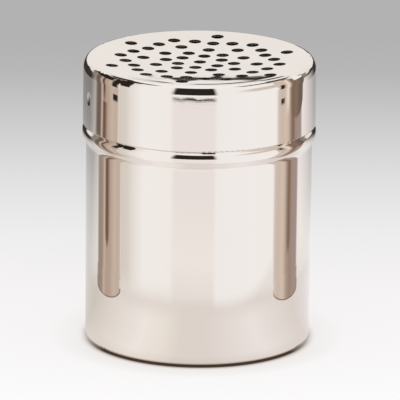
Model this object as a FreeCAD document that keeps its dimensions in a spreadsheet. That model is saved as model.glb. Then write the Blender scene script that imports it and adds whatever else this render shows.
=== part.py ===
import FreeCAD, Part
import math
import os

import Sketcher
from FreeCAD import Placement, Rotation, Vector

# Stainless steel shaker for spice or sugar: a deep-drawn cup with a rolled bead, and a perforated
# cap that presses down over the neck above the bead.
# Millimetres. The origin is the middle of the base, where it stands, and +Z is up.
# Azimuths are degrees about +Z, counted from +X towards +Y. The front of the shaker faces -Y.

DRIVING_SIZES = {
    # Cup, drawn from one disc of sheet
    "cup_diameter": 68.0,
    "cup_sheet": 0.6,
    "wall_height": 60.5,
    "base_round": 1.5,
    "foot_width": 2.0,
    "panel_rise": 0.8,
    "panel_slope": 1.2,
    # Bead rolled out of the cup's wall: how far it stands proud, its crown and the flares beside it
    "bead_proud": 1.2,
    "bead_crown": 3.0,
    "bead_flare": 3.0,
    # Cap, drawn from one disc of sheet, with a shallow dish in its top. A wide shoulder arc turns in
    # from the skirt by shoulder_turn, and a tight crown arc carries on from it over to the dish.
    "cap_height": 19.88,
    "cap_sheet": 0.6,
    "shoulder_round": 5.0,
    "shoulder_turn": 30.0,
    "crown_round": 1.4,
    "dish_depth": 1.4,
    "skirt_flare": 0.15,
    # Fits between the cap and the cup
    "neck_clearance": 0.25,
    "seat_clearance_share": 0.6,
    "bead_clearance": 0.2,
    "grip_clearance": 0.04,
    # Holes punched in the cap: their bore, the plain border outside them and the turn of a spoke
    "hole_diameter": 3.8,
    "hole_border": 3.388,
    "hole_turn": 19.0,
    # Grip dents pressed into the skirt, in line with a spoke of holes
    "grip_diameter": 4.0,
    "grip_height": 9.75,
    "grip_round": 1.5,
    # Cuts run this far past what they cut
    "overrun": 1.0,
}

# Hole rings as shares of the step from one ring to the next. Six spokes hold four holes each, three
# more stand half way between each two spokes, and a pair fills the gap beside the outermost of those.
SPOKE_SHARES = (1, 2, 3, 4)
BETWEEN_SHARES = (1.5, 2.5, 3.5)
PAIR_SHARE = 3.22
SPOKES = 6
SPOKE_ANGLE = 360 / SPOKES
PAIR_ANGLE = SPOKE_ANGLE / 4

# Sizes that follow from the driving ones, written as the sheet's own formulas
DERIVED_SIZES = {
    "cup_radius": "=cup_diameter / 2",
    "foot_outer": "=cup_radius - base_round",
    "foot_inner": "=foot_outer - foot_width",
    "panel_radius": "=foot_inner - panel_slope",
    "bead_radius": "=cup_radius + bead_proud - bead_crown",
    "bead_reach": "=sqrt((bead_flare + bead_crown)^2 - (bead_flare + bead_crown - bead_proud)^2)",
    "bead_z": "=wall_height + bead_reach",
    "flare_rise": "=neck_clearance + skirt_flare - bead_clearance",
    "skirt_drop": "=sqrt(bead_flare^2 - (bead_flare - flare_rise)^2)",
    "skirt_z": "=bead_z + bead_reach - skirt_drop",
    "cap_top": "=skirt_z + cap_height",
    "shoulder_radius": "=cup_radius + neck_clearance + cap_sheet",
    "skirt_radius": "=shoulder_radius + skirt_flare",
    "shoulder_offset": "=shoulder_round - crown_round",
    "crown_radius": "=shoulder_radius - shoulder_round + shoulder_offset * cos(shoulder_turn * 1 deg)",
    "crown_z": "=cap_top - crown_round",
    "shoulder_z": "=crown_z - shoulder_offset * sin(shoulder_turn * 1 deg)",
    "dish_radius": "=(crown_radius^2 + dish_depth^2) / (2 * dish_depth) - crown_round",
    "hole_step": f"=(crown_radius - hole_border - hole_diameter / 2) / {max(SPOKE_SHARES)}",
    "corner_room": "=shoulder_round - cap_sheet - cup_sheet / 2",
    "seat_clearance": "=neck_clearance * seat_clearance_share",
    "seat_lift": "=sqrt((corner_room - seat_clearance)^2 - (corner_room - neck_clearance)^2)",
    "neck_top": "=shoulder_z + seat_lift + cup_sheet / 2",
    "grip_z": "=skirt_z + grip_height",
    "grip_face": "=shoulder_radius + skirt_flare * (shoulder_z - grip_z) / (shoulder_z - skirt_z)",
    "grip_floor": "=cup_radius + grip_clearance + cap_sheet",
    "grip_depth": "=grip_face - grip_floor",
    "grip_radius": "=((grip_diameter / 2)^2 + grip_depth^2) / (2 * grip_depth)",
}

GRIPS = 2

# Points looked at along an edge to tell which edge it is
EDGE_POINTS = 9

FULL_TURN = 360.0
QUARTER = math.pi / 2

document = FreeCAD.newDocument("spice_shaker")


def make_sheet():
    """Spreadsheet with one size to a row: its name in column A and its value in column B."""
    sheet = document.addObject("Spreadsheet::Sheet", "sizes")
    for row, (name, value) in enumerate({**DRIVING_SIZES, **DERIVED_SIZES}.items(), start=1):
        sheet.set(f"A{row}", name)
        sheet.set(f"B{row}", str(value))
        sheet.setAlias(f"B{row}", name)
    document.recompute()
    return sheet


sizes = make_sheet()


def size(name):
    """Present value of one size in the sheet."""
    return float(getattr(sizes, name))


def origin_feature(body, role):
    """Base plane or axis of a body, by its role, such as XZ_Plane or Z_Axis."""
    return next(feature for feature in body.Origin.OriginFeatures if feature.Role == role)


def new_body(label):
    body = document.addObject("PartDesign::Body", label)
    body.Label = label
    return body


def new_sketch(body, name, plane):
    sketch = body.newObject("Sketcher::SketchObject", name)
    sketch.AttachmentSupport = [(origin_feature(body, plane), "")]
    sketch.MapMode = "FlatFace"
    return sketch


def line(sketch, start, end):
    return sketch.addGeometry(Part.LineSegment(Vector(*start), Vector(*end)), False)


def arc(sketch, centre, radius, start, end):
    """Arc that turns from angle start to angle end, in radians, against the clock."""
    circle = Part.Circle(Vector(*centre), Vector(0, 0, 1), radius)
    return sketch.addGeometry(Part.ArcOfCircle(circle, start, end), False)


def constrain(sketch, kind, *where):
    sketch.addConstraint(Sketcher.Constraint(kind, *where))


def dimension(sketch, name, kind, where, formula):
    """Driving dimension that follows a formula in the sheet's sizes."""
    value = float(sketch.evalExpression(formula))
    index = sketch.addConstraint(Sketcher.Constraint(kind, *where, value))
    sketch.renameConstraint(index, name)
    sketch.setExpression(f"Constraints.{name}", formula)


def measure_x(sketch, name, piece, point, formula):
    dimension(sketch, name, "DistanceX", (-1, 1, piece, point), formula)


def measure_y(sketch, name, piece, point, formula):
    dimension(sketch, name, "DistanceY", (-1, 1, piece, point), formula)


def revolve(body, name, sketch, axis):
    feature = body.newObject("PartDesign::Revolution", name)
    feature.Profile = sketch
    feature.ReferenceAxis = axis
    feature.Angle = FULL_TURN
    return feature


def cup_face(sketch, side, inward, depth):
    """One face of the cup's sheet, from the middle of the base up to the neck.

    depth is how far the face lies inside the cup's outer face, and inward the formula for it.
    """
    radius = size("cup_radius") - depth
    base_round = size("base_round")
    flare = size("bead_flare") + depth
    crown = size("bead_crown") - depth
    rise = size("panel_rise")
    # Two slanted faces one sheet apart meet the level ones further out by this much
    slant = math.atan2(rise, size("panel_slope")) / 2
    shift = depth * math.tan(slant)
    shift_formula = f"{inward} * tan(atan2(sizes.panel_rise; sizes.panel_slope) / 2)"
    lean = math.acos((size("bead_flare") + size("bead_crown") - size("bead_proud"))
                     / (size("bead_flare") + size("bead_crown")))
    low_z = size("wall_height")
    bead_z = size("bead_z")
    high_z = bead_z + size("bead_reach")
    flare_x = size("cup_radius") + size("bead_flare")
    neck_z = size("neck_top") - size("cup_sheet") / 2
    panel_x = size("panel_radius") + shift
    foot_x = size("foot_inner") + shift
    foot_end = size("foot_outer")

    panel = line(sketch, (0, rise + depth), (panel_x, rise + depth))
    slope = line(sketch, (panel_x, rise + depth), (foot_x, depth))
    foot = line(sketch, (foot_x, depth), (foot_end, depth))
    corner = arc(sketch, (foot_end, base_round), base_round - depth, -QUARTER, 0)
    wall = line(sketch, (radius, base_round), (radius, low_z))
    low = arc(sketch, (flare_x, low_z), flare, math.pi - lean, math.pi)
    bead = arc(sketch, (size("bead_radius"), bead_z), crown, -lean, lean)
    high = arc(sketch, (flare_x, high_z), flare, math.pi, math.pi + lean)
    neck = line(sketch, (radius, high_z), (radius, neck_z))

    constrain(sketch, "Horizontal", panel)
    constrain(sketch, "Coincident", panel, 2, slope, 1)
    constrain(sketch, "Coincident", slope, 2, foot, 1)
    constrain(sketch, "Horizontal", foot)
    constrain(sketch, "Tangent", foot, 2, corner, 1)
    constrain(sketch, "Tangent", corner, 2, wall, 1)
    constrain(sketch, "Vertical", wall)
    constrain(sketch, "Tangent", wall, 2, low, 2)
    constrain(sketch, "Tangent", low, 1, bead, 1)
    constrain(sketch, "Tangent", bead, 2, high, 2)
    constrain(sketch, "Tangent", high, 1, neck, 1)
    constrain(sketch, "Equal", low, high)
    constrain(sketch, "Vertical", neck)

    measure_y(sketch, f"{side}_panel_z", panel, 1, f"sizes.panel_rise + {inward}")
    measure_x(sketch, f"{side}_panel_edge", panel, 2, f"sizes.panel_radius + {shift_formula}")
    measure_x(sketch, f"{side}_foot_inner", foot, 1, f"sizes.foot_inner + {shift_formula}")
    dimension(sketch, f"{side}_base_round", "Radius", (corner,), f"sizes.base_round - {inward}")
    measure_y(sketch, f"{side}_corner_z", corner, 3, "sizes.base_round")
    measure_x(sketch, f"{side}_wall_radius", wall, 2, f"sizes.cup_radius - {inward}")
    dimension(sketch, f"{side}_crown", "Radius", (bead,), f"sizes.bead_crown - {inward}")
    dimension(sketch, f"{side}_flare", "Radius", (low,), f"sizes.bead_flare + {inward}")
    measure_x(sketch, f"{side}_bead_radius", bead, 3, "sizes.bead_radius")
    measure_y(sketch, f"{side}_bead_z", bead, 3, "sizes.bead_z")
    measure_x(sketch, f"{side}_neck_radius", neck, 2, f"sizes.cup_radius - {inward}")
    return panel, neck


def make_cup():
    """Deep-drawn cup: raised panel and foot ring, straight wall, rolled bead and plain neck."""
    body = new_body("cup")
    section = new_sketch(body, "cup_section", "XZ_Plane")
    outer_panel, outer_neck = cup_face(section, "outer", "0", 0)
    inner_panel, inner_neck = cup_face(section, "inner", "sizes.cup_sheet", size("cup_sheet"))

    half_sheet = size("cup_sheet") / 2
    rim_x = size("cup_radius") - half_sheet
    rim_z = size("neck_top") - half_sheet
    rim = arc(section, (rim_x, rim_z), half_sheet, 0, math.pi)
    middle = line(section, (0, size("panel_rise")), (0, size("panel_rise") + size("cup_sheet")))
    constrain(section, "Tangent", outer_neck, 2, rim, 1)
    constrain(section, "Tangent", rim, 2, inner_neck, 2)
    constrain(section, "Coincident", middle, 1, outer_panel, 1)
    constrain(section, "Coincident", middle, 2, inner_panel, 1)
    constrain(section, "PointOnObject", middle, 1, -2)
    constrain(section, "PointOnObject", middle, 2, -2)
    measure_y(section, "rim_centre_z", rim, 3, "sizes.neck_top - sizes.cup_sheet / 2")

    revolve(body, "cup_shell", section, (section, ["V_Axis"]))
    return body


def cap_face(sketch, side, inward, depth):
    """One face of the cap's sheet, from the middle of the dish out and down the skirt."""
    dish_radius = size("dish_radius") + depth
    dish_z = size("cap_top") - size("dish_depth") - depth
    tilt = math.asin(size("crown_radius") / (size("dish_radius") + size("crown_round")))
    turn = math.radians(size("shoulder_turn"))
    lean = math.atan2(size("skirt_flare"), size("shoulder_z") - size("skirt_z"))
    shoulder_x = size("shoulder_radius") - size("shoulder_round")
    shoulder_z = size("shoulder_z")
    edge_z = size("skirt_z") + size("cap_sheet") / 2

    dish = arc(sketch, (0, dish_z + dish_radius), dish_radius, -QUARTER, -QUARTER + tilt)
    crown = arc(sketch, (size("crown_radius"), size("crown_z")), size("crown_round") - depth,
                turn, QUARTER + tilt)
    shoulder = arc(sketch, (shoulder_x, shoulder_z), size("shoulder_round") - depth, -lean, turn)
    skirt = line(sketch, (size("shoulder_radius") - depth, shoulder_z),
                 (size("skirt_radius") - depth, edge_z))

    constrain(sketch, "PointOnObject", dish, 3, -2)
    constrain(sketch, "Tangent", dish, 2, crown, 2)
    constrain(sketch, "Tangent", crown, 1, shoulder, 2)
    constrain(sketch, "Tangent", shoulder, 1, skirt, 1)
    measure_y(sketch, f"{side}_dish_z", dish, 1, f"sizes.cap_top - sizes.dish_depth - {inward}")
    dimension(sketch, f"{side}_crown_round", "Radius", (crown,), f"sizes.crown_round - {inward}")
    measure_x(sketch, f"{side}_crown_radius", crown, 3, "sizes.crown_radius")
    measure_y(sketch, f"{side}_crown_z", crown, 3, "sizes.crown_z")
    dimension(sketch, f"{side}_shoulder_round", "Radius", (shoulder,),
              f"sizes.shoulder_round - {inward}")
    measure_y(sketch, f"{side}_shoulder_z", shoulder, 3, "sizes.shoulder_z")
    measure_x(sketch, f"{side}_skirt_radius", skirt, 2, f"sizes.skirt_radius - {inward}")
    return dish, skirt


def place_hole(sketch, name, share, angle_formula, first):
    """One hole of the cap, at a share of the hole step and an angle about the middle."""
    angle = math.radians(float(sketch.evalExpression(angle_formula)))
    reach = share * size("hole_step")
    centre = Vector(reach * math.cos(angle), reach * math.sin(angle))
    bore = Part.Circle(centre, Vector(0, 0, 1), size("hole_diameter") / 2)
    hole = sketch.addGeometry(bore, False)
    measure_x(sketch, f"{name}_x", hole, 3, f"{share} * sizes.hole_step * cos({angle_formula} * 1 deg)")
    measure_y(sketch, f"{name}_y", hole, 3, f"{share} * sizes.hole_step * sin({angle_formula} * 1 deg)")
    if first is None:
        dimension(sketch, "bore", "Diameter", (hole,), "sizes.hole_diameter")
    else:
        constrain(sketch, "Equal", first, hole)
    return hole


def punch(body, name, sketch):
    """Pocket up through the cap's top from a sketch on the base plane."""
    pocket = body.newObject("PartDesign::Pocket", name)
    pocket.Profile = sketch
    pocket.Type = "ThroughAll"
    pocket.Reversed = True
    return pocket


def polar_pattern(body, name, features, count):
    pattern = body.newObject("PartDesign::PolarPattern", name)
    pattern.Originals = features
    pattern.Axis = (origin_feature(body, "Z_Axis"), [""])
    pattern.Angle = FULL_TURN
    pattern.Occurrences = count
    body.Tip = pattern
    return pattern


def punch_holes(body):
    """One hole in the middle and nine in each of six equal sectors."""
    middle = new_sketch(body, "middle_hole", "XY_Plane")
    bore = Part.Circle(Vector(0, 0), Vector(0, 0, 1), size("hole_diameter") / 2)
    hole = middle.addGeometry(bore, False)
    constrain(middle, "Coincident", hole, 3, -1, 1)
    dimension(middle, "bore", "Diameter", (hole,), "sizes.hole_diameter")
    punch(body, "middle_punch", middle)

    sector = new_sketch(body, "sector_holes", "XY_Plane")
    first = None
    for share in SPOKE_SHARES:
        name = f"spoke_{share}"
        hole = place_hole(sector, name, share, "sizes.hole_turn", first)
        first = hole if first is None else first
    between = f"sizes.hole_turn + {SPOKE_ANGLE / 2}"
    for index, share in enumerate(BETWEEN_SHARES, start=1):
        place_hole(sector, f"between_{index}", share, f"({between})", first)
    for name, sign in (("pair_left", "+"), ("pair_right", "-")):
        place_hole(sector, name, PAIR_SHARE, f"({between} {sign} {PAIR_ANGLE})", first)
    sector_punch = punch(body, "sector_punch", sector)
    polar_pattern(body, "punch_pattern", [sector_punch], SPOKES)


def grip_lens(body, name, radius_formula, back_formula):
    """Half section of a lens whose round face looks inwards, on the grip's radial plane.

    The round face belongs to a sphere about a centre outside the cap, and back is the lens's
    flat outer face.
    """
    sketch = new_sketch(body, name, "XZ_Plane")
    radius = float(sketch.evalExpression(radius_formula))
    back = float(sketch.evalExpression(back_formula))
    centre = size("grip_floor") + size("grip_radius")
    height = size("grip_z")
    tip = centre - radius
    edge = math.sqrt(radius ** 2 - (centre - back) ** 2)
    spread = math.asin(edge / radius)
    axis = line(sketch, (tip, height), (back, height))
    flat = line(sketch, (back, height), (back, height + edge))
    face = arc(sketch, (centre, height), radius, math.pi - spread, math.pi)
    constrain(sketch, "Horizontal", axis)
    constrain(sketch, "Vertical", flat)
    constrain(sketch, "Coincident", axis, 2, flat, 1)
    constrain(sketch, "Coincident", flat, 2, face, 1)
    constrain(sketch, "Coincident", face, 2, axis, 1)
    dimension(sketch, "face_radius", "Radius", (face,), radius_formula)
    measure_x(sketch, "back", flat, 1, back_formula)
    measure_x(sketch, "centre", face, 3, "sizes.grip_floor + sizes.grip_radius")
    measure_y(sketch, "height", face, 3, "sizes.grip_z")
    measure_y(sketch, "axis_height", axis, 1, "sizes.grip_z")
    sketch.AttachmentOffset = Placement(Vector(), Rotation(Vector(0, 1, 0), size("hole_turn")))
    sketch.setExpression("AttachmentOffset.Rotation.Angle", "sizes.hole_turn * 1 deg")
    return sketch


def press_grips(body):
    """Two shallow dents across the skirt from each other, whose crests grip the neck inside."""
    inner = grip_lens(body, "grip_crest_section", "sizes.grip_radius + sizes.cap_sheet",
                      "sizes.grip_face - sizes.cap_sheet / 2")
    crest = revolve(body, "grip_crest", inner, (inner, ["Edge1"]))
    outer = grip_lens(body, "grip_hollow_section", "sizes.grip_radius",
                      "sizes.grip_face + sizes.overrun")
    hollow = body.newObject("PartDesign::Groove", "grip_hollow")
    hollow.Profile = outer
    hollow.ReferenceAxis = (outer, ["Edge1"])
    hollow.Angle = FULL_TURN
    pattern = polar_pattern(body, "grip_pattern", [crest, hollow], GRIPS)
    document.recompute()
    rounding = body.newObject("PartDesign::Fillet", "grip_rounding")
    rounding.Base = (pattern, grip_edges(pattern.Shape))
    rounding.setExpression("Radius", "sizes.grip_round")
    body.Tip = rounding


def grip_edges(shape):
    """Names of the edges that run round each dent, on the outside of the skirt and inside."""
    names = []
    for turn in range(GRIPS):
        angle = math.radians(size("hole_turn") + turn * FULL_TURN / GRIPS)
        axis = Vector(math.cos(angle), math.sin(angle), 0)
        middle = axis * size("grip_floor") + Vector(0, 0, size("grip_z"))
        for index, edge in enumerate(shape.Edges, start=1):
            near = (edge.BoundBox.Center - middle).Length < size("grip_diameter")
            if edge.Degenerated or not near:
                continue
            reaches = [(point - middle).cross(axis).Length for point in edge.discretize(EDGE_POINTS)]
            if min(reaches) > size("grip_diameter") / 4:
                names.append(f"Edge{index}")
    return names


def make_cap():
    """Perforated cap: dished top, rounded shoulder and a skirt that covers the neck."""
    body = new_body("cap")
    section = new_sketch(body, "cap_section", "XZ_Plane")
    outer_dish, outer_skirt = cap_face(section, "outer", "0", 0)
    inner_dish, inner_skirt = cap_face(section, "inner", "sizes.cap_sheet", size("cap_sheet"))

    half_sheet = size("cap_sheet") / 2
    dish_z = size("cap_top") - size("dish_depth")
    edge_centre = (size("skirt_radius") - half_sheet, size("skirt_z") + half_sheet)
    edge = arc(section, edge_centre, half_sheet, -math.pi, 0)
    middle = line(section, (0, dish_z), (0, dish_z - size("cap_sheet")))
    constrain(section, "Tangent", outer_skirt, 2, edge, 2)
    constrain(section, "Tangent", edge, 1, inner_skirt, 2)
    constrain(section, "Coincident", middle, 1, outer_dish, 1)
    constrain(section, "Coincident", middle, 2, inner_dish, 1)
    constrain(section, "PointOnObject", middle, 1, -2)
    constrain(section, "PointOnObject", middle, 2, -2)
    measure_y(section, "edge_centre_z", edge, 3, "sizes.skirt_z + sizes.cap_sheet / 2")

    revolve(body, "cap_shell", section, (section, ["V_Axis"]))
    punch_holes(body)
    press_grips(body)
    return body


def check(parts):
    """Stop on any failed feature or bad solid before a file is written."""
    document.recompute()
    for item in document.Objects:
        if "Invalid" in item.State or "Error" in item.State:
            raise RuntimeError(f"{item.Name} is {item.State}")
    for part in parts:
        shape = part.Shape
        if shape.isNull() or not shape.isValid() or len(shape.Solids) != 1:
            raise RuntimeError(f"{part.Label} has no single valid solid")


def main():
    parts = [make_cup(), make_cap()]
    check(parts)
    os.makedirs("parts", exist_ok=True)
    for part in parts:
        part.Shape.exportStep(os.path.join("parts", f"{part.Label}.step"))
        box = part.Shape.optimalBoundingBox()
        print(f"{part.Label}: volume {part.Shape.Volume:.1f}, faces {len(part.Shape.Faces)}, "
              f"z {box.ZMin:.3f} to {box.ZMax:.3f}, width {box.XLength:.3f}")


main()
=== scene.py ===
import math

import bpy
from mathutils import Matrix, Vector

# A mirror-bright shaker shows what stands round it, so the studio is part of its look: a ring of
# pale cards with a gap in front for the camera, open at the back, on a pale paper floor.
# Metres, in the CAD's frame: +Z is up and the front faces -Y. An azimuth is in degrees from the
# front, growing towards the camera's right.

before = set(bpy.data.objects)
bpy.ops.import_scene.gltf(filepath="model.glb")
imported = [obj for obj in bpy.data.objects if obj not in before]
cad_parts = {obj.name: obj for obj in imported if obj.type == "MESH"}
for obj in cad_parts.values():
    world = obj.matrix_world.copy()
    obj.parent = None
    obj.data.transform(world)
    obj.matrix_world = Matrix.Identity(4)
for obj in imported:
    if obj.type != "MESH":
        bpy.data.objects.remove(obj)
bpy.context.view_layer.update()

MM = 0.001
FULL_TURN = 360

# Camera, fitted to the rim ellipses, the side outline and the holes
PHOTO_WIDTH = 400
CAMERA_TARGET = Vector((0, 0, 43.0 * MM))
CAMERA_DISTANCE = 1564.6 * MM
CAMERA_ELEVATION = math.radians(15.97)
CAMERA_ROLL = math.radians(0.59)
CAMERA_LENS_MM = 466.9
CAMERA_NEAR = 0.05
CAMERA_FAR = 20.0
SENSOR_MM = 36.0
TARGET_PIXEL = (198.51, 197.19)

# Middle of the sheet in the two pieces, which parts the buffed outside from the plain inside
CUP_WALL_MIDDLE = 33.7 * MM
CUP_FLOOR_MIDDLE = 1.1 * MM
CUP_FOOT_MIDDLE = 0.3 * MM
CUP_FOOT_START = 29.6 * MM
CUP_FOOT_END = 30.6 * MM
CAP_WALL_MIDDLE = 34.5 * MM
CAP_TOP_MIDDLE = 84.8 * MM
DISH_RADIUS = 387.5 * MM
CORNER_EASE = 2.8 * MM

# Steel, whose lines and waves are counted to the metre
BUFFED_STEEL = "#E2DDD8"
BUFFED_ROUGHNESS = (0.015, 0.05)
INSIDE_STEEL_TONE = "#B4AFA9"
DRAWN_ROUGHNESS = (0.3, 0.45)
LINES = 3300
LINE_STRETCH = (0.02, 0.02, 1)
LINE_CONTRAST = (0.35, 0.7)
WAVES = 80
WALL_WAVE_HEIGHT = 0.00125 * MM
FLAT_WAVE_FACTOR = 40
FLAT_END = 30 * MM
WALL_START = 32 * MM

# Studio round the shaker, with the heights of its cards in millimetres
CARD_RADIUS = 86 * MM
CARD_TOP = 152
RAIL_TOP = 205
CARD_SIDES = 360
FLOOR_RADIUS = 6.0
FLOOR_SIDES = 128
FLOOR_GAP = 0.02 * MM
PAPER_GLOW = 0.8
SHADOW_START = 33 * MM
SHADOW_END = 45 * MM
SHADOW_SHARE_BEHIND = 0.45
PAPER_NEAR_END = 75 * MM
PAPER_FAR_START = 100 * MM
SLIT_DISTANCE = 368.7 * MM
SLIT_HALF_WIDTH = 2.6 * MM
POST_FOOT_RISE = 3.4
POST_FOOT_LEAN = 1.07
CEILING_START = math.radians(42)
CEILING_FULL = math.radians(45)
CEILING_DROP = 0.45
MIRRORED_LIGHT = 1.155
WHITE = "#FFFFFF"
BLACK = "#000000"
GREY_WALL = "#B0B0B0"
# Painted shade on the left panel and above the left post, and the dark brown of the left clamp
SHADE_AND_CLAMP_BROWN = "#2A2320"
DARK_CLAMP = "#33291F"
DARK_RAIL = "#3A322C"
# Painted shadow along the far edge of the paper, as the steel shows it
SLIT_SHADOW_TONE = "#2A2420"
DARK_ROOM = "#3A332F"
POST_SOLE = "#6B5A4F"
WHITE_ROD = "#FBF7F8"
CREAM_ROD = "#F4E6DC"
CREAM_CEILING = "#F2EFEC"


def linear(code):
    """sRGB hex colour as linear RGBA."""
    channels = [int(code[at:at + 2], 16) / 255 for at in (1, 3, 5)]
    return [c / 12.92 if c <= 0.04045 else ((c + 0.055) / 1.055) ** 2.4 for c in channels] + [1.0]


def add_node(tree, kind, settings=None, inputs=None, stops=()):
    """Node with its settings, its inputs, each a value or a socket to link, and its ramp's stops.

    A stop is a place on the ramp, an sRGB hex colour and, where it isn't 1, an opacity.
    """
    node = tree.nodes.new(kind)
    for name, value in (settings or {}).items():
        setattr(node, name, value)
    for name, value in (inputs or {}).items():
        if isinstance(value, bpy.types.NodeSocket):
            tree.links.new(value, node.inputs[name])
        else:
            node.inputs[name].default_value = value
    for index, (place, code, *opacity) in enumerate(stops):
        elements = node.color_ramp.elements
        stop = elements[index] if index < 2 else elements.new(place)
        stop.position = place
        stop.color = linear(code)[:3] + (opacity or [1.0])
    return node


def new_material(name):
    material = bpy.data.materials.new(name)
    material.use_nodes = True
    material.node_tree.nodes.clear()
    return material, material.node_tree


def turn_share(azimuth):
    """Place of an azimuth on a ramp that runs once round, from the back by the left to the back."""
    return 0.5 + azimuth / FULL_TURN


def read_turn(tree, place):
    """Share of a turn from the back, as a socket, at which a point stands."""
    faced = add_node(tree, "ShaderNodeMapping", inputs={
        "Vector": place, "Rotation": (0, 0, math.pi / 2)})
    turn = add_node(tree, "ShaderNodeTexGradient", {"gradient_type": "RADIAL"}, {
        "Vector": faced.outputs[0]})
    return turn.outputs["Fac"]


def read_place(tree):
    """Place of a point on an object and its distance from the axis, as sockets."""
    place = add_node(tree, "ShaderNodeTexCoord").outputs["Object"]
    level = add_node(tree, "ShaderNodeVectorMath", {"operation": "MULTIPLY"}, {
        0: place, 1: (1, 1, 0)})
    distance = add_node(tree, "ShaderNodeVectorMath", {"operation": "LENGTH"}, {
        0: level.outputs[0]})
    return place, distance.outputs["Value"]


def plain_inside(tree, name, place, distance):
    """1 on the faces inside a piece, which the buffing wheel doesn't reach, and 0 outside."""
    height = add_node(tree, "ShaderNodeSeparateXYZ", inputs={"Vector": place}).outputs["Z"]
    if name == "cup":
        wall = CUP_WALL_MIDDLE
        floor = add_node(tree, "ShaderNodeMapRange", inputs={
            "Value": distance, "From Min": CUP_FOOT_START, "From Max": CUP_FOOT_END,
            "To Min": CUP_FLOOR_MIDDLE, "To Max": CUP_FOOT_MIDDLE})
        past_level = add_node(tree, "ShaderNodeMath", {"operation": "SUBTRACT"}, {
            0: floor.outputs["Result"], 1: height})
    else:
        wall = CAP_WALL_MIDDLE
        square = add_node(tree, "ShaderNodeMath", {"operation": "MULTIPLY"}, {
            0: distance, 1: distance})
        # The dished top rises from its middle by the square of the distance over twice its radius
        bowl = add_node(tree, "ShaderNodeMath", {"operation": "MULTIPLY_ADD"}, {
            0: square.outputs[0], 1: -1 / (2 * DISH_RADIUS), 2: height})
        past_level = add_node(tree, "ShaderNodeMath", {"operation": "SUBTRACT"}, {
            0: bowl.outputs[0], 1: CAP_TOP_MIDDLE})
    past_wall = add_node(tree, "ShaderNodeMath", {"operation": "SUBTRACT"}, {0: distance, 1: wall})
    # The corner between wall and end is round, so the two distances ease into one another
    past = add_node(tree, "ShaderNodeMath", {"operation": "SMOOTH_MAX"}, {
        0: past_wall.outputs[0], 1: past_level.outputs[0], 2: CORNER_EASE})
    inside = add_node(tree, "ShaderNodeMath", {"operation": "LESS_THAN"}, {
        0: past.outputs[0], 1: 0})
    return inside.outputs[0]


def steel_sheet(name):
    """Stainless steel sheet, deep drawn and then buffed outside.

    Outside it is a warm white mirror, a little uneven where the sheet flowed in the die. Inside it
    keeps the drawn skin, which is duller, and it is coloured a darker grey.
    """
    material, tree = new_material(f"stainless_steel_drawn_and_buffed_{name}")
    place, distance = read_place(tree)
    inside = plain_inside(tree, name, place, distance)
    # Fine lines run round the piece, 0.3 mm apart. They show only as a change of sharpness.
    stretched = add_node(tree, "ShaderNodeMapping", inputs={"Vector": place, "Scale": LINE_STRETCH})
    lines = add_node(tree, "ShaderNodeTexNoise", inputs={
        "Vector": stretched.outputs[0], "Scale": LINES, "Detail": 2, "Roughness": 0.6})
    buffed, drawn = (
        add_node(tree, "ShaderNodeMapRange", inputs={
            "Value": lines.outputs["Fac"], "From Min": LINE_CONTRAST[0],
            "From Max": LINE_CONTRAST[1], "To Min": smooth, "To Max": rough})
        for smooth, rough in (BUFFED_ROUGHNESS, DRAWN_ROUGHNESS))
    sharpness = add_node(tree, "ShaderNodeMix", {"data_type": "FLOAT"}, {
        "Factor": inside, "A": buffed.outputs["Result"], "B": drawn.outputs["Result"]})
    tone = add_node(tree, "ShaderNodeMix", {"data_type": "RGBA"}, {
        "Factor": inside, "A": linear(BUFFED_STEEL), "B": linear(INSIDE_STEEL_TONE)})
    # The sheet flows unevenly in the die, in soft waves about 12 mm long. They are under 1 um high
    # on the walls, and some 20 um on the flat top and bottom, which no die stretches.
    waves = add_node(tree, "ShaderNodeTexNoise", inputs={
        "Vector": place, "Scale": WAVES, "Detail": 1, "Roughness": 0.4})
    flat = add_node(tree, "ShaderNodeMapRange", {"interpolation_type": "SMOOTHSTEP"}, {
        "Value": distance, "From Min": FLAT_END, "From Max": WALL_START,
        "To Min": FLAT_WAVE_FACTOR, "To Max": 1})
    swell = add_node(tree, "ShaderNodeMath", {"operation": "MULTIPLY"}, {
        0: waves.outputs["Fac"], 1: flat.outputs["Result"]})
    relief = add_node(tree, "ShaderNodeBump", inputs={
        "Height": swell.outputs[0], "Strength": 1.0, "Distance": WALL_WAVE_HEIGHT})
    shader = add_node(tree, "ShaderNodeBsdfPrincipled", inputs={
        "Base Color": tone.outputs["Result"], "Metallic": 1.0,
        "Roughness": sharpness.outputs["Result"], "Normal": relief.outputs["Normal"]})
    add_node(tree, "ShaderNodeOutputMaterial", inputs={"Surface": shader.outputs["BSDF"]})
    return material


def dress(name):
    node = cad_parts[name]
    node.data.materials.clear()
    node.data.materials.append(steel_sheet(name))


def seen_in_steel_only(piece):
    piece.visible_camera = False
    piece.visible_diffuse = False
    piece.visible_shadow = False
    piece.visible_transmission = False
    piece.visible_volume_scatter = False


def cut_arc(ring, start, end):
    """Leave only the faces of a ring that stand between two azimuths."""
    bpy.ops.object.mode_set(mode="EDIT")
    bpy.ops.mesh.select_mode(type="FACE")
    bpy.ops.mesh.select_all(action="DESELECT")
    bpy.ops.object.mode_set(mode="OBJECT")
    for face in ring.data.polygons:
        azimuth = math.degrees(math.atan2(face.center.x, -face.center.y))
        face.select = not start - 1 < azimuth < end + 1
    bpy.ops.object.mode_set(mode="EDIT")
    bpy.ops.mesh.delete(type="FACE")
    bpy.ops.object.mode_set(mode="OBJECT")


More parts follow.
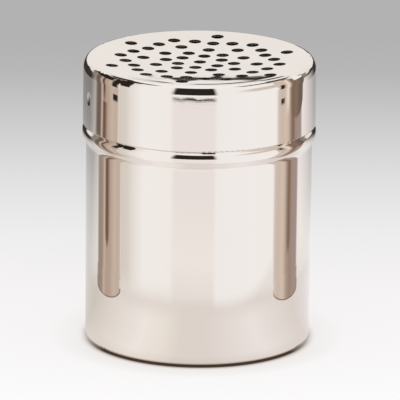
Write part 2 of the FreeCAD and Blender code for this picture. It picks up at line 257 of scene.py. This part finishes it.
def lit_card(name, low, strips, arch, soft):
    """Card lit from behind, which is an even pale or dark patch with soft edges in the steel."""
    material, tree = new_material(f"card_lit_from_behind_{name}")
    place = add_node(tree, "ShaderNodeTexCoord").outputs["Object"]
    height = add_node(tree, "ShaderNodeSeparateXYZ", inputs={"Vector": place}).outputs["Z"]
    turn = read_turn(tree, place)
    tint = add_node(tree, "ShaderNodeValToRGB", inputs={"Fac": turn}, stops=[
        (turn_share(azimuth), *look) for azimuth, *look in strips])
    middle, half, rise, lean = arch
    halves = FULL_TURN / half
    side = add_node(tree, "ShaderNodeMath", {"operation": "MULTIPLY_ADD"}, {
        0: turn, 1: halves, 2: -turn_share(middle) * halves})
    square = add_node(tree, "ShaderNodeMath", {"operation": "MULTIPLY"}, {
        0: side.outputs[0], 1: side.outputs[0]})
    room = add_node(tree, "ShaderNodeMath", {"operation": "SUBTRACT", "use_clamp": True}, {
        0: 1, 1: square.outputs[0]})
    root = add_node(tree, "ShaderNodeMath", {"operation": "SQRT"}, {0: room.outputs[0]})
    level = add_node(tree, "ShaderNodeMath", {"operation": "MULTIPLY_ADD"}, {
        0: side.outputs[0], 1: -lean * MM, 2: height})
    over_foot = add_node(tree, "ShaderNodeMath", {"operation": "MULTIPLY_ADD"}, {
        0: root.outputs[0], 1: rise * MM, 2: level.outputs[0]})
    foot = add_node(tree, "ShaderNodeMapRange", {"interpolation_type": "SMOOTHSTEP"}, {
        "Value": over_foot.outputs[0], "From Min": (low + rise) * MM,
        "From Max": (low + rise + soft) * MM})
    cover = add_node(tree, "ShaderNodeMath", {"operation": "MULTIPLY"}, {
        0: tint.outputs["Alpha"], 1: foot.outputs["Result"]})
    glow = add_node(tree, "ShaderNodeEmission", inputs={
        "Color": tint.outputs["Color"], "Strength": MIRRORED_LIGHT})
    clear = add_node(tree, "ShaderNodeBsdfTransparent")
    sheet = add_node(tree, "ShaderNodeMixShader", inputs={
        "Fac": cover.outputs[0], 1: clear.outputs["BSDF"], 2: glow.outputs["Emission"]})
    add_node(tree, "ShaderNodeOutputMaterial", inputs={"Surface": sheet.outputs["Shader"]})
    return material


def add_card(name, low, high, strips, arch=(0, FULL_TURN, 0, 0), soft=1, layer=0):
    """Card that stands in an arc round the shaker, from height low to height high, in mm.

    A strip is an azimuth, a colour and, where it isn't 1, an opacity. The arch is the azimuth of
    the middle of the foot, half its width, how far it rises to its corners and how much more it
    rises to the right one. The foot fades in over the height soft. A card with a higher layer
    stands in front.
    """
    bpy.ops.object.select_all(action="DESELECT")
    bpy.ops.mesh.primitive_cylinder_add(
        vertices=CARD_SIDES, radius=CARD_RADIUS - layer * MM, depth=(high - low) * MM,
        end_fill_type="NOTHING", location=(0, 0, (low + high) / 2 * MM))
    bpy.ops.object.transform_apply(location=True)
    card = bpy.context.object
    card.name = name
    cut_arc(card, strips[0][0], strips[-1][0])
    card.data.materials.append(lit_card(name, low, strips, arch, soft))
    seen_in_steel_only(card)


def one_colour(code, start, full, end, gone):
    """Strips of one colour that comes in between two azimuths and goes out between two more."""
    return [(start, code, 0), (full, code), (end, code), (gone, code, 0)]


def add_panels():
    """White panels on both sides of the camera's gap, and dark cards painted where the left one
    lies in shade.
    """
    add_card("left_panel", 0, CARD_TOP, [
        (-70.4, "#DAD0C5", 0), (-70, "#DAD0C5"), (-67.5, "#E2DBD3"), (-63, "#E1DED8"),
        (-57.4, "#F1ECEA"), (-46, "#FFFEFF"), (-22.6, "#FDFBFB"), (-19.1, "#F7F4F4", 0)], soft=12)
    # Painted shade: dark cards where the left panel lies in shade
    add_card("left_shade", 88, 190, one_colour(SHADE_AND_CLAMP_BROWN, -78, -77, -58.5, -57.8), layer=2)
    add_card("left_shade_corner", 74, 89, one_colour(SHADE_AND_CLAMP_BROWN, -78, -77, -71, -70.2), layer=2)
    add_card("right_panel", 0, CARD_TOP, [
        (11.5, "#FCF7F6", 0), (14.5, "#FDFCFD"), (44, "#FEFEFF"), (67, "#FEFCFC"),
        (68.5, "#E9E0DE", 0)], arch=(25, 46, 18, 0), soft=7)
    add_card("right_panel_band", 87, 107, [
        (28, "#DCD0CA", 0), (45, "#DCD0CA"), (67, "#D6CAC2"), (68, "#D6CAC2", 0)],
        soft=6, layer=1)


def add_left_post():
    """Wooden post beside the left panel: round foot, dark slot up its middle, and painted shade
    that darkens its upper part.
    """
    grain = [
        (-103.3, "#A99D91", 0), (-102.5, "#9D9286"), (-97.5, "#9D9286"), (-94.7, "#AC998B"),
        (-92.3, "#D7C1B5"), (-90.3, "#BCA99C"), (-84, "#BCA99C"), (-80.5, "#CAB8AB"),
        (-77.5, "#D2C0B4"), (-74, "#C8B9AC"), (-70.8, "#CEBFB2"), (-70, "#CEBFB2", 0)]
    add_card("left_post", 6, CARD_TOP, grain, layer=1)
    add_card("left_post_sole", 0, 5, one_colour(POST_SOLE, -103.8, -103, -70.2, -69.4),
             arch=(-86.7, 17.2, POST_FOOT_RISE, POST_FOOT_LEAN), soft=0.3, layer=4.1)
    add_card("left_post_foot", 0.35, 9, grain,
             arch=(-86.7, 16.7, POST_FOOT_RISE, POST_FOOT_LEAN), soft=0.3, layer=4.3)
    add_card("left_slot", 14, 63, [
        (-90.8, "#6F5849", 0), (-89.8, "#6F5849"), (-87.5, "#6F5849"), (-85.3, "#97806F", 0.8),
        (-83, "#BCA99C", 0)], arch=(-88, 4, 12, 0), soft=4, layer=2)
    add_card("left_slot_top", 60, CARD_TOP, [
        (-90.4, "#58402F", 0), (-89.4, "#58402F"), (-87.6, "#5A4332"), (-86, "#7A6252", 0)],
        soft=8, layer=3)
    # Painted shade: a darker card over the post's upper part, at the height of the cap
    add_card("left_post_painted_shade_top", 47, CARD_TOP, [
        (-101.3, "#756A65", 0), (-100.4, "#756A65"), (-95.5, "#6E615A"), (-93.5, "#8B7C74"),
        (-92, "#C9B3A5", 0)], soft=6, layer=2)


def add_right_post():
    """Wooden post beside the right panel, made as the left one, with painted shade on its upper
    part.
    """
    grain = [
        (68, "#DBCFC8", 0), (68.8, "#DBCFC8"), (73.2, "#D4C5B9"), (78, "#DDCDC0"),
        (81, "#D1C0B3"), (83, "#B7A495"), (88, "#A58F81"), (93.3, "#A89792"),
        (99.6, "#A99994"), (100.6, "#A99994", 0)]
    add_card("right_post", 6, CARD_TOP, grain, layer=1)
    add_card("right_post_sole", 0, 5, one_colour(POST_SOLE, 67.4, 68.2, 100.4, 101.2),
             arch=(84.3, 16.9, POST_FOOT_RISE, -POST_FOOT_LEAN), soft=0.3, layer=4.1)
    add_card("right_post_foot", 0.35, 9, grain,
             arch=(84.3, 16.4, POST_FOOT_RISE, -POST_FOOT_LEAN), soft=0.3, layer=4.3)
    add_card("right_slot", 13, CARD_TOP, [
        (82.5, "#A08A7B", 0), (85, "#8F7868"), (86.3, "#866E5D"), (88.3, "#8D7563"),
        (90.5, "#A89792", 0)], arch=(86.3, 4, 12, 0), soft=4, layer=2)
    # Painted shade: a darker card over the post's upper part, at the height of the cap
    add_card("right_post_painted_shade_top", 58, CARD_TOP, [
        (83.5, "#877665", 0), (85.5, "#7F6B5A"), (91, "#8A7869"), (96, "#75655A"),
        (101.2, "#70625A"), (102.2, "#70625A", 0)], arch=(92.3, 10, 7, 0), layer=3)


def add_fittings():
    """Rods, clamps and lamp held by the posts, painted shade above the left post, and the dark
    rails along the cards' top.
    """
    add_card("left_rod", 66, 96, one_colour(WHITE_ROD, -70.2, -69.8, -68.6, -68.2),
             soft=20, layer=3)
    add_card("left_clamp", 65, 67.6, one_colour(SHADE_AND_CLAMP_BROWN, -77, -76, -71.4, -70.6), layer=4)
    add_card("right_clamp_low", 64.7, 67, one_colour(DARK_CLAMP, 70.2, 71.4, 74.4, 75.4), layer=4)
    add_card("right_clamp_high", 75, 92, one_colour(DARK_CLAMP, 69, 70, 74, 75), layer=4)
    add_card("right_rod", 60, 130, one_colour(CREAM_ROD, 77, 77.8, 80.4, 81.4), soft=6, layer=4)
    add_card("lamp", 94, 130, one_colour("#FFFDFA", 87, 88, 100, 101), layer=5)
    # Painted shade: a dark card above the left post, beside the shade on the left panel
    add_card("left_shade_above_post", 98, 140, one_colour(SHADE_AND_CLAMP_BROWN, -112, -111, -79, -78), layer=4)
    add_card("left_rail", CARD_TOP - 1, RAIL_TOP, [
        (-125, DARK_RAIL), (-52, DARK_RAIL), (-42, DARK_RAIL, 0)])
    add_card("right_rail", CARD_TOP - 1, RAIL_TOP, [
        (38, DARK_RAIL, 0), (48, DARK_RAIL), (125, DARK_RAIL)])


def contact_shadow(tree, distance, y):
    """Tone of the shadow at the foot of the shaker, and its share, as sockets."""
    # No light reaches the paper under the rounded edge of the base
    past_base = add_node(tree, "ShaderNodeMapRange", inputs={
        "Value": distance, "From Min": SHADOW_START, "From Max": SHADOW_END}).outputs["Result"]
    contact = add_node(tree, "ShaderNodeValToRGB", inputs={"Fac": past_base}, stops=[
        (0.07, "#4A3D33"), (0.105, "#B0A59D"), (0.18, "#E6E1DD"), (0.27, "#F6F4F2"), (1, WHITE)])
    # It is full in front and fainter behind, which the light reaches from the back
    in_front = add_node(tree, "ShaderNodeMapRange", inputs={
        "Value": y, "From Min": -4 * MM, "From Max": -18 * MM, "To Min": SHADOW_SHARE_BEHIND})
    return contact.outputs["Color"], in_front.outputs["Result"]


def paper_for_camera(tree, y):
    """Tone of the paper for the camera, which falls off to grey behind the shaker."""
    depth = add_node(tree, "ShaderNodeMapRange", inputs={
        "Value": y, "From Min": -60 * MM, "From Max": 440 * MM})
    tone = add_node(tree, "ShaderNodeValToRGB", inputs={"Fac": depth.outputs["Result"]}, stops=[
        (0, "#FDFCFC"), (0.2, "#F7F5F5"), (0.33, "#EFEEEE"), (0.46, "#E1E1E1"), (0.58, "#D0D0D0"),
        (0.75, "#B7B7B7"), (0.85, "#B2B2B2")])
    return tone.outputs["Color"]


def paper_in_steel(tree, distance, turn, x):
    """Tone of the paper in the steel."""
    # Near the shaker the paper takes the tint of the card behind it
    near = add_node(tree, "ShaderNodeValToRGB", inputs={"Fac": turn}, stops=[
        (0, "#E2DFDF"), (turn_share(-140), "#D8D5D2"), (turn_share(-105), "#D4D0C9"),
        (turn_share(-80), "#E9E2DE"), (turn_share(-42), "#FAF7F5"), (turn_share(-25), "#F4EFE9"),
        (turn_share(-12), "#E9E3E0"), (turn_share(5), "#E9E3E0"), (turn_share(45), "#F7F3F4"),
        (turn_share(90), "#E5DFDB"), (turn_share(125), "#EDE9ED"), (1, "#E2DFDF")])
    # Further out it ends in front at a painted shadow line along the paper's edge, 0.37 m away, and
    # dims towards the back
    front = add_node(tree, "ShaderNodeValToRGB", inputs={"Fac": distance}, stops=[
        (95 * MM, "#E9E3E0"), (106 * MM, "#F1EEEC"), (139 * MM, "#F9F6F4"), (226 * MM, "#F6F0F0"),
        (363 * MM, "#F6F0F0"), (374 * MM, "#FFFDFC")])
    in_slit = add_node(tree, "ShaderNodeMath", {"operation": "COMPARE"}, {
        0: distance, 1: SLIT_DISTANCE, 2: SLIT_HALF_WIDTH})
    slit = add_node(tree, "ShaderNodeMix", {"data_type": "RGBA"}, {
        "Factor": in_slit.outputs[0], "A": front.outputs["Color"], "B": linear(SLIT_SHADOW_TONE)})
    left = add_node(tree, "ShaderNodeValToRGB", inputs={"Fac": distance}, stops=[
        (83 * MM, "#D8D5D2"), (115 * MM, "#D5D4D3"), (180 * MM, "#C5C5C5"), (290 * MM, "#949092"),
        (370 * MM, "#827F7B"), (400 * MM, DARK_ROOM)])
    right = add_node(tree, "ShaderNodeValToRGB", inputs={"Fac": distance}, stops=[
        (83 * MM, "#EDE9ED"), (115 * MM, "#E7EAEB"), (180 * MM, "#CCCBCA"), (290 * MM, "#AEADAE"),
        (370 * MM, "#9C9B9B"), (400 * MM, DARK_ROOM)])
    hand = add_node(tree, "ShaderNodeMapRange", inputs={
        "Value": x, "From Min": -50 * MM, "From Max": 50 * MM})
    back = add_node(tree, "ShaderNodeMix", {"data_type": "RGBA"}, {
        "Factor": hand.outputs["Result"], "A": left.outputs["Color"], "B": right.outputs["Color"]})
    facing = add_node(tree, "ShaderNodeValToRGB", inputs={"Fac": turn}, stops=[
        (turn_share(-130), WHITE), (turn_share(-102), BLACK),
        (turn_share(117), BLACK), (turn_share(150), WHITE)])
    far = add_node(tree, "ShaderNodeMix", {"data_type": "RGBA"}, {
        "Factor": facing.outputs["Color"], "A": slit.outputs["Result"],
        "B": back.outputs["Result"]})
    leave = add_node(tree, "ShaderNodeMapRange", {"interpolation_type": "SMOOTHSTEP"}, {
        "Value": distance, "From Min": PAPER_NEAR_END, "From Max": PAPER_FAR_START})
    ground = add_node(tree, "ShaderNodeMix", {"data_type": "RGBA"}, {
        "Factor": leave.outputs["Result"], "A": near.outputs["Color"], "B": far.outputs["Result"]})
    return ground.outputs["Result"]


def white_paper():
    """Matt white paper, which the steel shows brighter than the camera does."""
    material, tree = new_material("white_paper_matt")
    place, distance = read_place(tree)
    split = add_node(tree, "ShaderNodeSeparateXYZ", inputs={"Vector": place})
    contact, share = contact_shadow(tree, distance, split.outputs["Y"])
    tone = paper_for_camera(tree, split.outputs["Y"])
    ground = paper_in_steel(tree, distance, read_turn(tree, place), split.outputs["X"])
    shaded_tone, shaded_ground = (
        add_node(tree, "ShaderNodeMix", {"data_type": "RGBA", "blend_type": "MULTIPLY"}, {
            "Factor": share, "A": paper, "B": contact})
        for paper in (tone, ground))
    matt = add_node(tree, "ShaderNodeBsdfDiffuse", inputs={"Color": shaded_tone.outputs["Result"]})
    # Light that comes through the paper keeps the shadow beside the shaker faint
    glow = add_node(tree, "ShaderNodeEmission", inputs={
        "Color": shaded_tone.outputs["Result"], "Strength": 1.0})
    lit = add_node(tree, "ShaderNodeMixShader", inputs={
        "Fac": PAPER_GLOW, 1: matt.outputs["BSDF"], 2: glow.outputs["Emission"]})
    mirrored = add_node(tree, "ShaderNodeEmission", inputs={
        "Color": shaded_ground.outputs["Result"], "Strength": MIRRORED_LIGHT})
    ray = add_node(tree, "ShaderNodeLightPath")
    both = add_node(tree, "ShaderNodeMixShader", inputs={
        "Fac": ray.outputs["Is Glossy Ray"], 1: lit.outputs["Shader"],
        2: mirrored.outputs["Emission"]})
    add_node(tree, "ShaderNodeOutputMaterial", inputs={"Surface": both.outputs["Shader"]})
    return material


def add_floor():
    bpy.ops.object.select_all(action="DESELECT")
    bpy.ops.mesh.primitive_circle_add(
        vertices=FLOOR_SIDES, radius=FLOOR_RADIUS, fill_type="NGON", location=(0, 0, -FLOOR_GAP))
    floor = bpy.context.object
    floor.name = "floor"
    floor.data.materials.append(white_paper())


def cloth_behind(tree, x, z):
    """Tone of the cream cloth behind the shaker, which has a thin dark seam near its foot.

    In the world z is the sine of the elevation.
    """
    cloth = add_node(tree, "ShaderNodeValToRGB", inputs={"Fac": z}, stops=[
        (0.05, DARK_ROOM), (0.09, "#EFEBE8"), (0.5, "#F2EFEC"), (0.75, WHITE)])
    seam_height = add_node(tree, "ShaderNodeValToRGB", inputs={"Fac": z}, stops=[
        (0.126, BLACK), (0.13, WHITE), (0.149, WHITE), (0.153, BLACK)])
    across = add_node(tree, "ShaderNodeMapRange", inputs={
        "Value": x, "From Min": -0.02, "From Max": 0.02}).outputs["Result"]
    seam_side = add_node(tree, "ShaderNodeValToRGB", inputs={"Fac": across}, stops=[
        (0.03, BLACK), (0.1, WHITE), (0.57, WHITE), (0.65, BLACK)])
    seam = add_node(tree, "ShaderNodeMath", {"operation": "MULTIPLY"}, {
        0: seam_height.outputs["Color"], 1: seam_side.outputs["Color"]})
    sewn = add_node(tree, "ShaderNodeMix", {"data_type": "RGBA"}, {
        "Factor": seam.outputs[0], "A": cloth.outputs["Color"], "B": linear(DARK_RAIL)})
    return sewn.outputs["Result"]


def room_in_steel(tree, place):
    """Tone of the room in the steel: cloth behind, walls that are dark in front, and ceiling."""
    split = add_node(tree, "ShaderNodeSeparateXYZ", inputs={"Vector": place})
    x, y, z = split.outputs
    turn = read_turn(tree, place)
    behind = add_node(tree, "ShaderNodeValToRGB", inputs={"Fac": turn}, stops=[
        (0.13, WHITE), (0.14, BLACK), (0.86, BLACK), (0.87, WHITE)])
    walls = add_node(tree, "ShaderNodeValToRGB", inputs={"Fac": turn}, stops=[
        (turn_share(-45), "#8F8781"), (turn_share(-30), "#2E2724"), (turn_share(25), "#2E2724"),
        (turn_share(40), "#8F8781")])
    sides = add_node(tree, "ShaderNodeMix", {"data_type": "RGBA"}, {
        "Factor": behind.outputs["Color"], "A": walls.outputs["Color"],
        "B": cloth_behind(tree, x, z)})
    # The ceiling comes lower towards the back, and is cream there
    slope = add_node(tree, "ShaderNodeMapRange", inputs={"Value": y, "To Max": CEILING_DROP})
    height = add_node(tree, "ShaderNodeMath", inputs={0: z, 1: slope.outputs["Result"]})
    overhead = add_node(tree, "ShaderNodeMapRange", inputs={
        "Value": height.outputs[0], "From Min": math.sin(CEILING_START),
        "From Max": math.sin(CEILING_FULL)})
    ceiling = add_node(tree, "ShaderNodeValToRGB", inputs={"Fac": y}, stops=[
        (0.6, WHITE), (0.8, CREAM_CEILING)])
    room = add_node(tree, "ShaderNodeMix", {"data_type": "RGBA"}, {
        "Factor": overhead.outputs["Result"], "A": sides.outputs["Result"],
        "B": ceiling.outputs["Color"]})
    return room.outputs["Result"]


def light_studio():
    """Soft white light from all round, before a plain grey wall for the camera."""
    world = bpy.data.worlds.new("studio")
    bpy.context.scene.world = world
    world.use_nodes = True
    tree = world.node_tree
    tree.nodes.clear()
    place = add_node(tree, "ShaderNodeTexCoord").outputs["Generated"]
    mirrored = add_node(tree, "ShaderNodeBackground", inputs={
        "Color": room_in_steel(tree, place), "Strength": MIRRORED_LIGHT})
    soft = add_node(tree, "ShaderNodeBackground", inputs={"Color": linear(WHITE), "Strength": 1.0})
    wall = add_node(tree, "ShaderNodeBackground", inputs={
        "Color": linear(GREY_WALL), "Strength": 1.0})
    ray = add_node(tree, "ShaderNodeLightPath")
    lit = add_node(tree, "ShaderNodeMixShader", inputs={
        "Fac": ray.outputs["Is Glossy Ray"], 1: soft.outputs["Background"],
        2: mirrored.outputs["Background"]})
    seen = add_node(tree, "ShaderNodeMixShader", inputs={
        "Fac": ray.outputs["Is Camera Ray"], 1: lit.outputs["Shader"],
        2: wall.outputs["Background"]})
    add_node(tree, "ShaderNodeOutputWorld", inputs={"Surface": seen.outputs["Shader"]})


def add_camera():
    camera = bpy.data.objects.new("camera", bpy.data.cameras.new("camera"))
    bpy.context.scene.collection.objects.link(camera)
    camera.data.lens = CAMERA_LENS_MM
    camera.data.sensor_width = SENSOR_MM
    camera.data.clip_start = CAMERA_NEAR
    camera.data.clip_end = CAMERA_FAR
    back = Vector((0, -math.cos(CAMERA_ELEVATION), math.sin(CAMERA_ELEVATION)))
    look = (-back).to_track_quat("-Z", "Y").to_matrix().to_4x4()
    camera.matrix_world = (Matrix.Translation(CAMERA_TARGET + back * CAMERA_DISTANCE) @ look
                           @ Matrix.Rotation(CAMERA_ROLL, 4, "Z"))
    camera.data.shift_x = (PHOTO_WIDTH / 2 - TARGET_PIXEL[0]) / PHOTO_WIDTH
    camera.data.shift_y = (TARGET_PIXEL[1] - PHOTO_WIDTH / 2) / PHOTO_WIDTH
    bpy.context.scene.camera = camera


dress("cup")
dress("cap")
add_panels()
add_left_post()
add_right_post()
add_fittings()
add_floor()
light_studio()
add_camera()
bpy.context.scene.view_settings.view_transform = "Standard"
